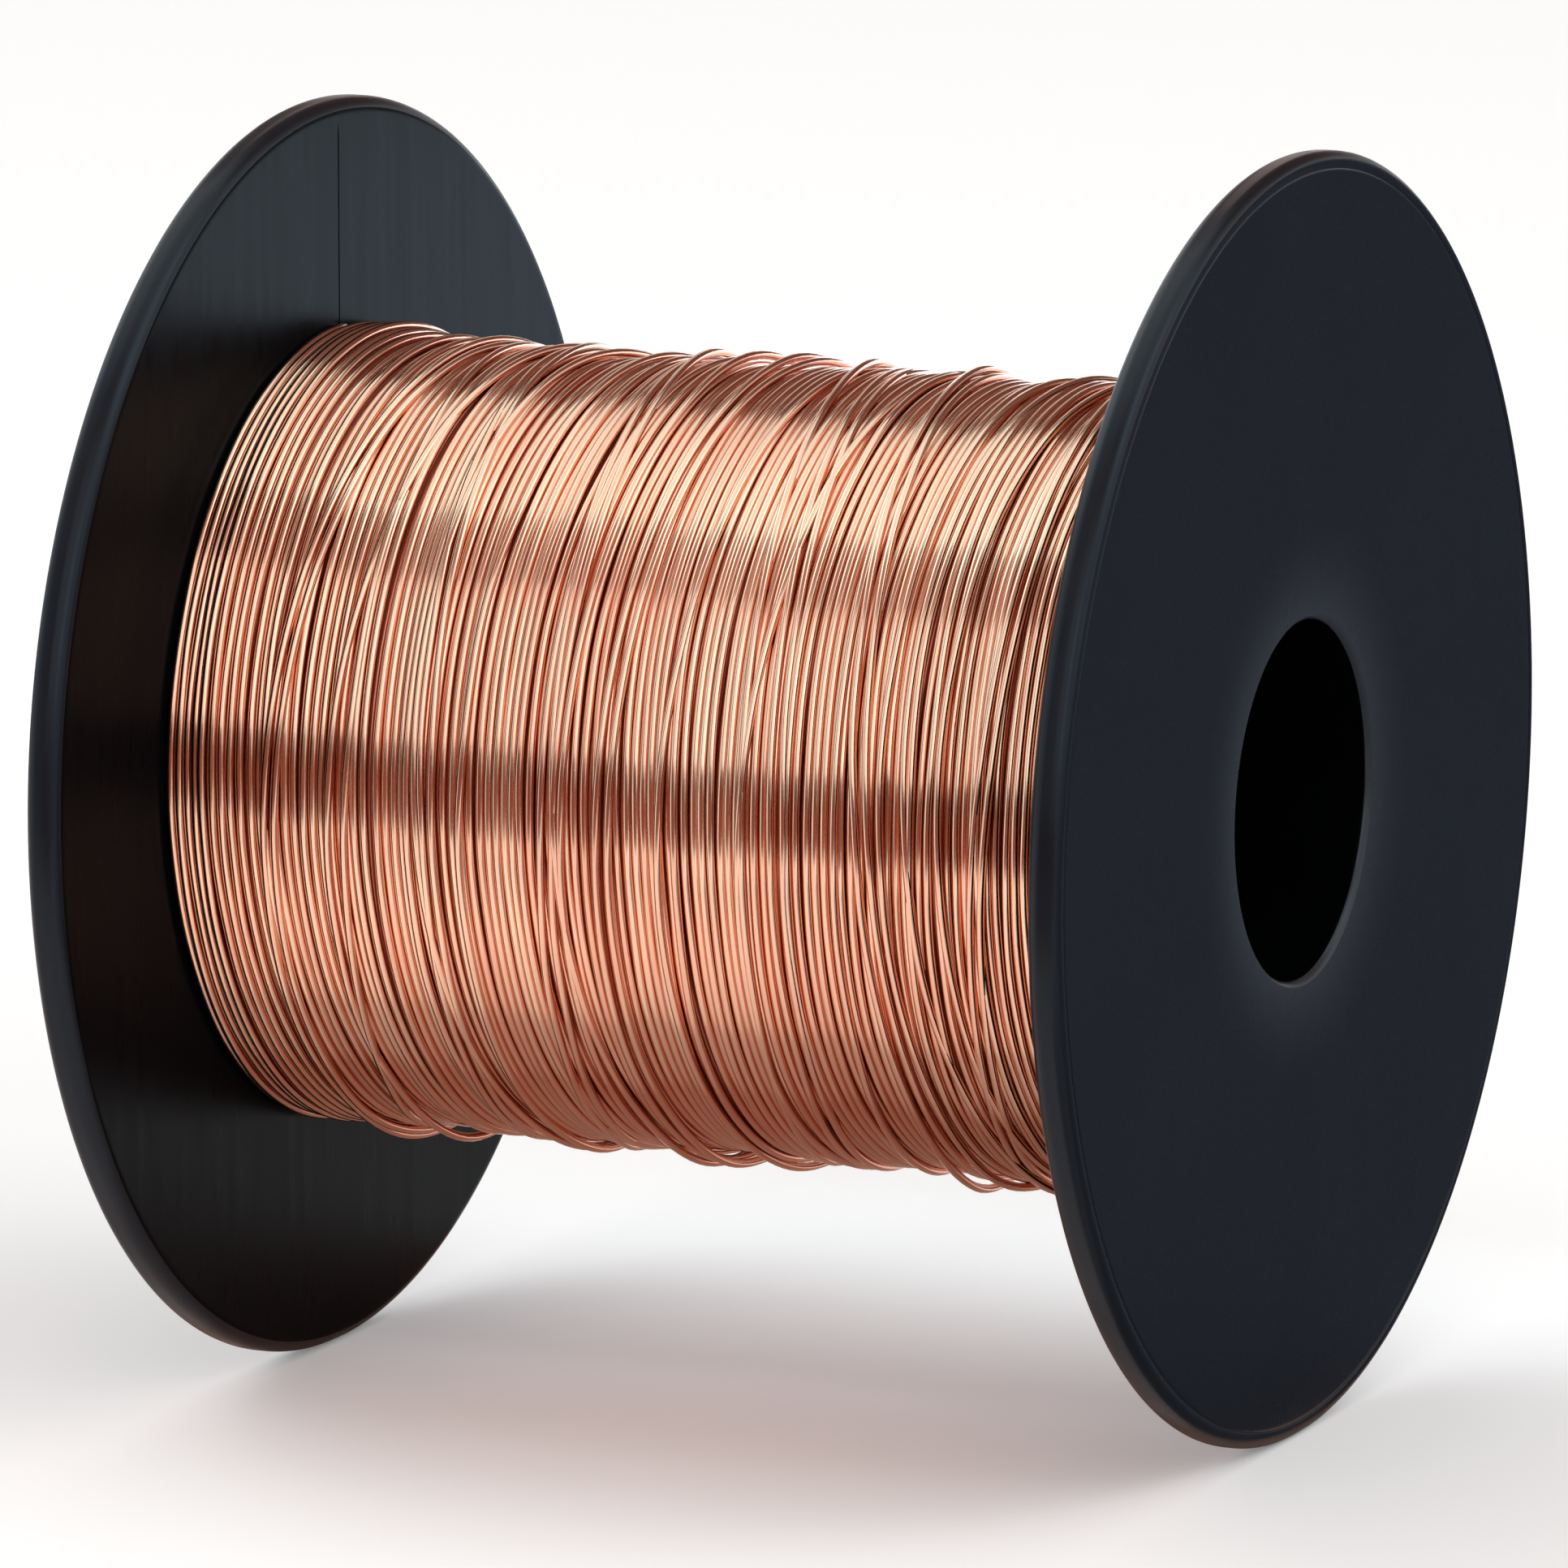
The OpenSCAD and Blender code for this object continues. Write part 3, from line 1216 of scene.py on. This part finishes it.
    def build(self, copper: bpy.types.Material, shaded_layers: bpy.types.Material) -> None:
        """Makes every piece of the wire in place of its CAD nodes.

        Args:
            copper: the material of the wire on the outside.
            shaded_layers: the material of the layers below: a darker, redder copy of the copper, as
                painted shade for their depth.
        """
        slot, sides = "copper_wire", self.sides
        outer, under, crossing = self.outer_path(), self.under_path(), self.crossing_strands()
        taut = np.zeros((1, 2))
        end = self.strand_path(9.5 * MM, slant=0.6, start=225, sweep=95, slack=taut, phase=90)
        half = len(outer) // 2
        for name, paths, skin, around_it, swell, nodes in (
            ("outer_layer_left", [outer[: half + 1]], copper, sides, self.pressed, ["wire_outer_layer"]),
            ("outer_layer_right", [outer[half:]], copper, sides, self.pressed, []),
            ("under_layer", [under], shaded_layers, self.under_sides, 1, []),
            ("crossing_turns", crossing, copper, sides, 1, ["wire_crossing_turns"]),
            ("tucked_end", [end], copper, sides, 1, ["wire_tail"]),
        ):
            finish_piece(self.wire_piece(name, paths, around_it, swell), [skin], nodes)
        # The packed layers and the wire's start also get the darker copper: painted shade.
        finish_piece(self.core().to_object("packed_layers"), [shaded_layers], ["wire_packed_layers"])
        dress_node("wire_start", shaded_layers)


@dataclass
class BarrelTube:
    """The tube between the flanges. Its CAD solid has the right shape and only needs a finish.

    Args:
        node: name of its CAD node.
    """

    node: str = "barrel"

    def build(self, plastic: bpy.types.Material) -> None:
        """Dresses the CAD node.

        Args:
            plastic: the barrel's material.
        """
        dress_node(self.node, plastic)


# ---------------------------------------------------------------- the studio


def facing_axes(azimuth: float, elevation: float) -> tuple[Array, Array, Array]:
    """Axes of something that looks at the middle from a direction given in degrees.

    Args:
        azimuth: degrees round from the front towards the right.
        elevation: degrees above the horizon, past 90 where it leans over to the back.

    Returns:
        Its right, its up, and the direction from the middle towards it.
    """
    a, e = math.radians(azimuth), math.radians(elevation)
    back = np.array([math.sin(a) * math.cos(e), -math.cos(a) * math.cos(e), math.sin(e)])
    right = np.array([math.cos(a), math.sin(a), 0.0])
    return right, np.cross(back, right), back


def set_up(item: bpy.types.Object, place: Array | Place, axes: tuple[Array, Array, Array]) -> None:
    """Links a camera or lamp to the scene, at its place and turned along its axes.

    Args:
        item: the camera or lamp.
        place: where it stands.
        axes: its right, its up, and the direction from its subject towards it.
    """
    turned = Matrix(np.stack(axes, -1).tolist()).to_4x4()
    item.matrix_world = Matrix.Translation(np.asarray(place, float).tolist()) @ turned
    bpy.context.scene.collection.objects.link(item)


@dataclass
class Viewpoint:
    """The camera: where it stands and how it frames the spool.

    Args:
        azimuth: degrees round from the front towards the right.
        elevation: degrees above the horizon.
        distance: from the spool's middle.
        focal: focal length in pixels of the frame.
        frame_size: width and height of the frame in pixels.
        offset: how far the camera stands to the right and up of the line to the middle.
    """

    azimuth: float = 23.78
    elevation: float = 10.38
    distance: float = 0.8
    focal: float = 15763.8
    frame_size: float = 1932.0
    offset: tuple[float, float] = (-0.00104, -0.00142)

    def build(self) -> None:
        """Makes the camera and gives it to the scene."""
        axes = right, up, back = facing_axes(self.azimuth, self.elevation)
        data = bpy.data.cameras.new("viewpoint")
        data.lens = data.sensor_width * self.focal / self.frame_size
        data.clip_start, data.clip_end = 0.01, 50.0
        camera = bpy.data.objects.new("viewpoint", data)
        set_up(camera, self.distance * back + self.offset[0] * right + self.offset[1] * up, axes)
        bpy.context.scene.camera = camera


@dataclass
class Softbox:
    """A rectangular soft lamp.

    Args:
        name: the lamp's name.
        elevation: degrees above the horizon that it shines from, past 90 from behind.
        size: width and height.
        brightness: radiance of its face, where 1 shows a white card as white.
        distance: from the spool's middle, where place isn't given.
        shift: how far it stands to the right of straight in front.
        place: where it stands instead.
        tint: the colour of its light.
    """

    name: str
    elevation: float
    size: tuple[float, float]
    brightness: float
    distance: float = 2.0
    shift: float = 0.0
    place: Place | None = None
    tint: Colour = (1.0, 1.0, 1.0)

    def build(self) -> None:
        """Makes the lamp. Its power is brightness times pi times its area."""
        axes = right, _, back = facing_axes(0, self.elevation)
        data = bpy.data.lights.new(self.name, "AREA")
        data.shape, data.color = "RECTANGLE", self.tint
        data.size, data.size_y = self.size
        data.energy = self.brightness * math.pi * self.size[0] * self.size[1]
        lamp = bpy.data.objects.new(self.name, data)
        lamp.visible_camera = False
        set_up(lamp, self.place or self.distance * back + self.shift * right, axes)


@dataclass
class Flag:
    """A card that only reflections see. It keeps light out of them, or lends them its colour.

    Args:
        name: the card's name.
        low: its lowest corner.
        high: its highest corner.
        shade: its colour.
        slant: how much further right its left edge ends, at the back, than it starts.
    """

    name: str
    low: Place
    high: Place
    shade: Colour
    slant: float = 0.0

    def build(self) -> None:
        """Makes the card, which lies flat or stands square to Y."""
        (x0, y0, z0), (x1, y1, z1) = self.low, self.high
        flag = Surface(
            np.array([[x0, y0, z0], [x1, y0, z0], [x1, y1, z1], [x0 + self.slant, y1, z1]]),
            np.array([[0, 1, 2, 3]]),
        ).to_object(self.name)
        flag.data.materials.append(Paper(self.shade).material(self.name))
        for rays in ("camera", "diffuse", "shadow", "transmission"):
            setattr(flag, "visible_" + rays, False)


@dataclass
class Studio:
    """The pale floor, the surroundings, the lamps and the flags.

    Args:
        floor_reach: half the floor's side.
        floor_white: the floor's colour.
        floor_glow: white that the floor adds to its own look; it lights nothing.
        card_gap: height of the flat cards above the floor.
        surround: colour of the surroundings overhead, in front and behind.
        sides: share of white in the surroundings at the left and right.
        horizon: share of white in the surroundings close to the horizon.
    """

    floor_reach: float = 6.0
    floor_white: Colour = (0.942, 0.968, 0.99)
    floor_glow: float = 0.14
    card_gap: float = 0.3 * MM
    surround: Colour = (0.16, 0.07, 0.055)
    sides: float = 1.0
    horizon: float = 1.0

    def floor(self) -> None:
        """Makes the floor under the flanges' rims."""
        z, reach = CAD_BOX[0].z, self.floor_reach
        side = np.linspace(-reach, reach, 3)
        x, y = np.meshgrid(side, side, indexing="ij")
        points = np.stack([x, y, np.full_like(x, z)], -1).reshape(-1, 3)
        floor = Surface(points, grid_quads(3, 3, False, False)[:, ::-1]).to_object("floor")
        paper = Paper(self.floor_white, roughness=0.9, glow=self.floor_glow)
        floor.data.materials.append(paper.material("floor_paper"))

    def surroundings(self) -> None:
        """A thin pale horizon behind, pale sides and a dark room elsewhere, for every kind of ray.

        The share of white is the larger of two. One is a ramp in the height of the direction above
        the horizon, times a ramp from front to back. The other is a ramp in how far the direction
        points to the left or right.
        """
        world = bpy.data.worlds.new("surroundings")
        bpy.context.scene.world = world
        world.use_nodes = True
        nodes = Nodes(world.node_tree)
        where = nodes.add("SeparateXYZ")
        x, y, z = nodes.join(nodes.coordinates["Generated"], where, 0).outputs
        smooth = "SMOOTHSTEP"
        low = nodes.ranged(z, 0.07, 0.24, self.horizon, 0, smooth)
        behind = nodes.ranged(y, -0.35, 0.05, 0, 1, smooth)
        beside = nodes.ranged(nodes.reckoned("ABSOLUTE", x), 0.43, 0.66, 0, self.sides, smooth)
        white = nodes.reckoned("MAXIMUM", nodes.reckoned("MULTIPLY", low, behind), beside)
        mixed = nodes.blend(white, self.surround, (1.0, 1.0, 1.0))
        nodes.join(mixed, world.node_tree.nodes["Background"], "Color")

    def build(self) -> None:
        """Sets up the whole studio."""
        bpy.context.scene.view_settings.view_transform = "Standard"
        self.floor()
        self.surroundings()
        ground = CAD_BOX[0].z + self.card_gap
        above = ground + 0.1 * MM
        brown, blue = (0.25, 0.08, 0.05), (0.085, 0.105, 0.145)
        warm, pale = (0.97, 0.81, 0.76), (0.76, 0.50, 0.42)
        rosy, sky, cool = (1.0, 0.82, 0.76), (0.74, 0.88, 1.0), (0.905, 1.0, 0.97)
        for item in (
            Softbox("overhead_softbox", 99, (5.5, 1.4), 1.09, 1.6, tint=cool),
            Softbox("bridge_softbox", 62, (3.0, 0.75), 0.24, 1.9, tint=(1.0, 0.56, 0.46)),
            Softbox("front_softbox", 31, (3.0, 1.7), 1.15, 2.0, shift=0.9, tint=(1.0, 0.91, 0.87)),
            Softbox("back_softbox", 150, (0.36, 1.3), 0.7, 2.0, shift=-0.7, tint=rosy),
            Softbox("floor_panel", -90, (0.5, 0.11), 0.30, place=(-0.03, -0.085, above), tint=rosy),
            Softbox("back_panel", 180, (0.06, 0.036), 2.1, place=(0.0, 0.06, 0.017), tint=sky),
            Flag("front_floor_flag", (-2, -3, ground), (3, -0.155, ground), brown, slant=1.9),
            Flag("front_low_flag", (-2, -3, ground), (3, -3, 0.4), brown),
            Flag("near_floor_flag", (-3, -0.155, ground), (0.035, -0.015, ground), warm),
            Flag("under_flag", (-0.045, -0.015, ground), (0.035, 0.028, ground), pale),
            Flag("back_floor_flag", (-3, 0.09, ground), (3, 3, ground), blue),
            Flag("back_low_flag", (0.2, 3, ground), (4.5, 3, 0.25), blue),
            Flag("right_floor_flag", (0.035, -0.1, ground), (3, 0.09, ground), blue),
        ):
            item.build()


def main() -> None:
    """Builds the spool and its studio."""
    logging.basicConfig(level=logging.INFO, format="%(message)s")
    Viewpoint().build()
    Studio().build()
    skins = [
        FLANGE_OUTSIDE.material("flange_outside_skin"),
        SHADED_FLANGE_INSIDE.material("flange_inside_skin"),
        FLANGE_RIM.material("flange_rim_skin"),
    ]
    FlangeMoulding(Side.LEFT, seam=(0.0, 0.09 * MM, 0.04 * MM)).build(skins)
    FlangeMoulding(Side.RIGHT).build(skins)
    BarrelTube().build(BARREL_PLASTIC.material("barrel_plastic_skin"))
    copper = BRIGHT_COPPER.material("bright_copper")
    WireWinding().build(copper, SHADED_COPPER.material("dull_copper"))


if __name__ == "__main__":
    main()
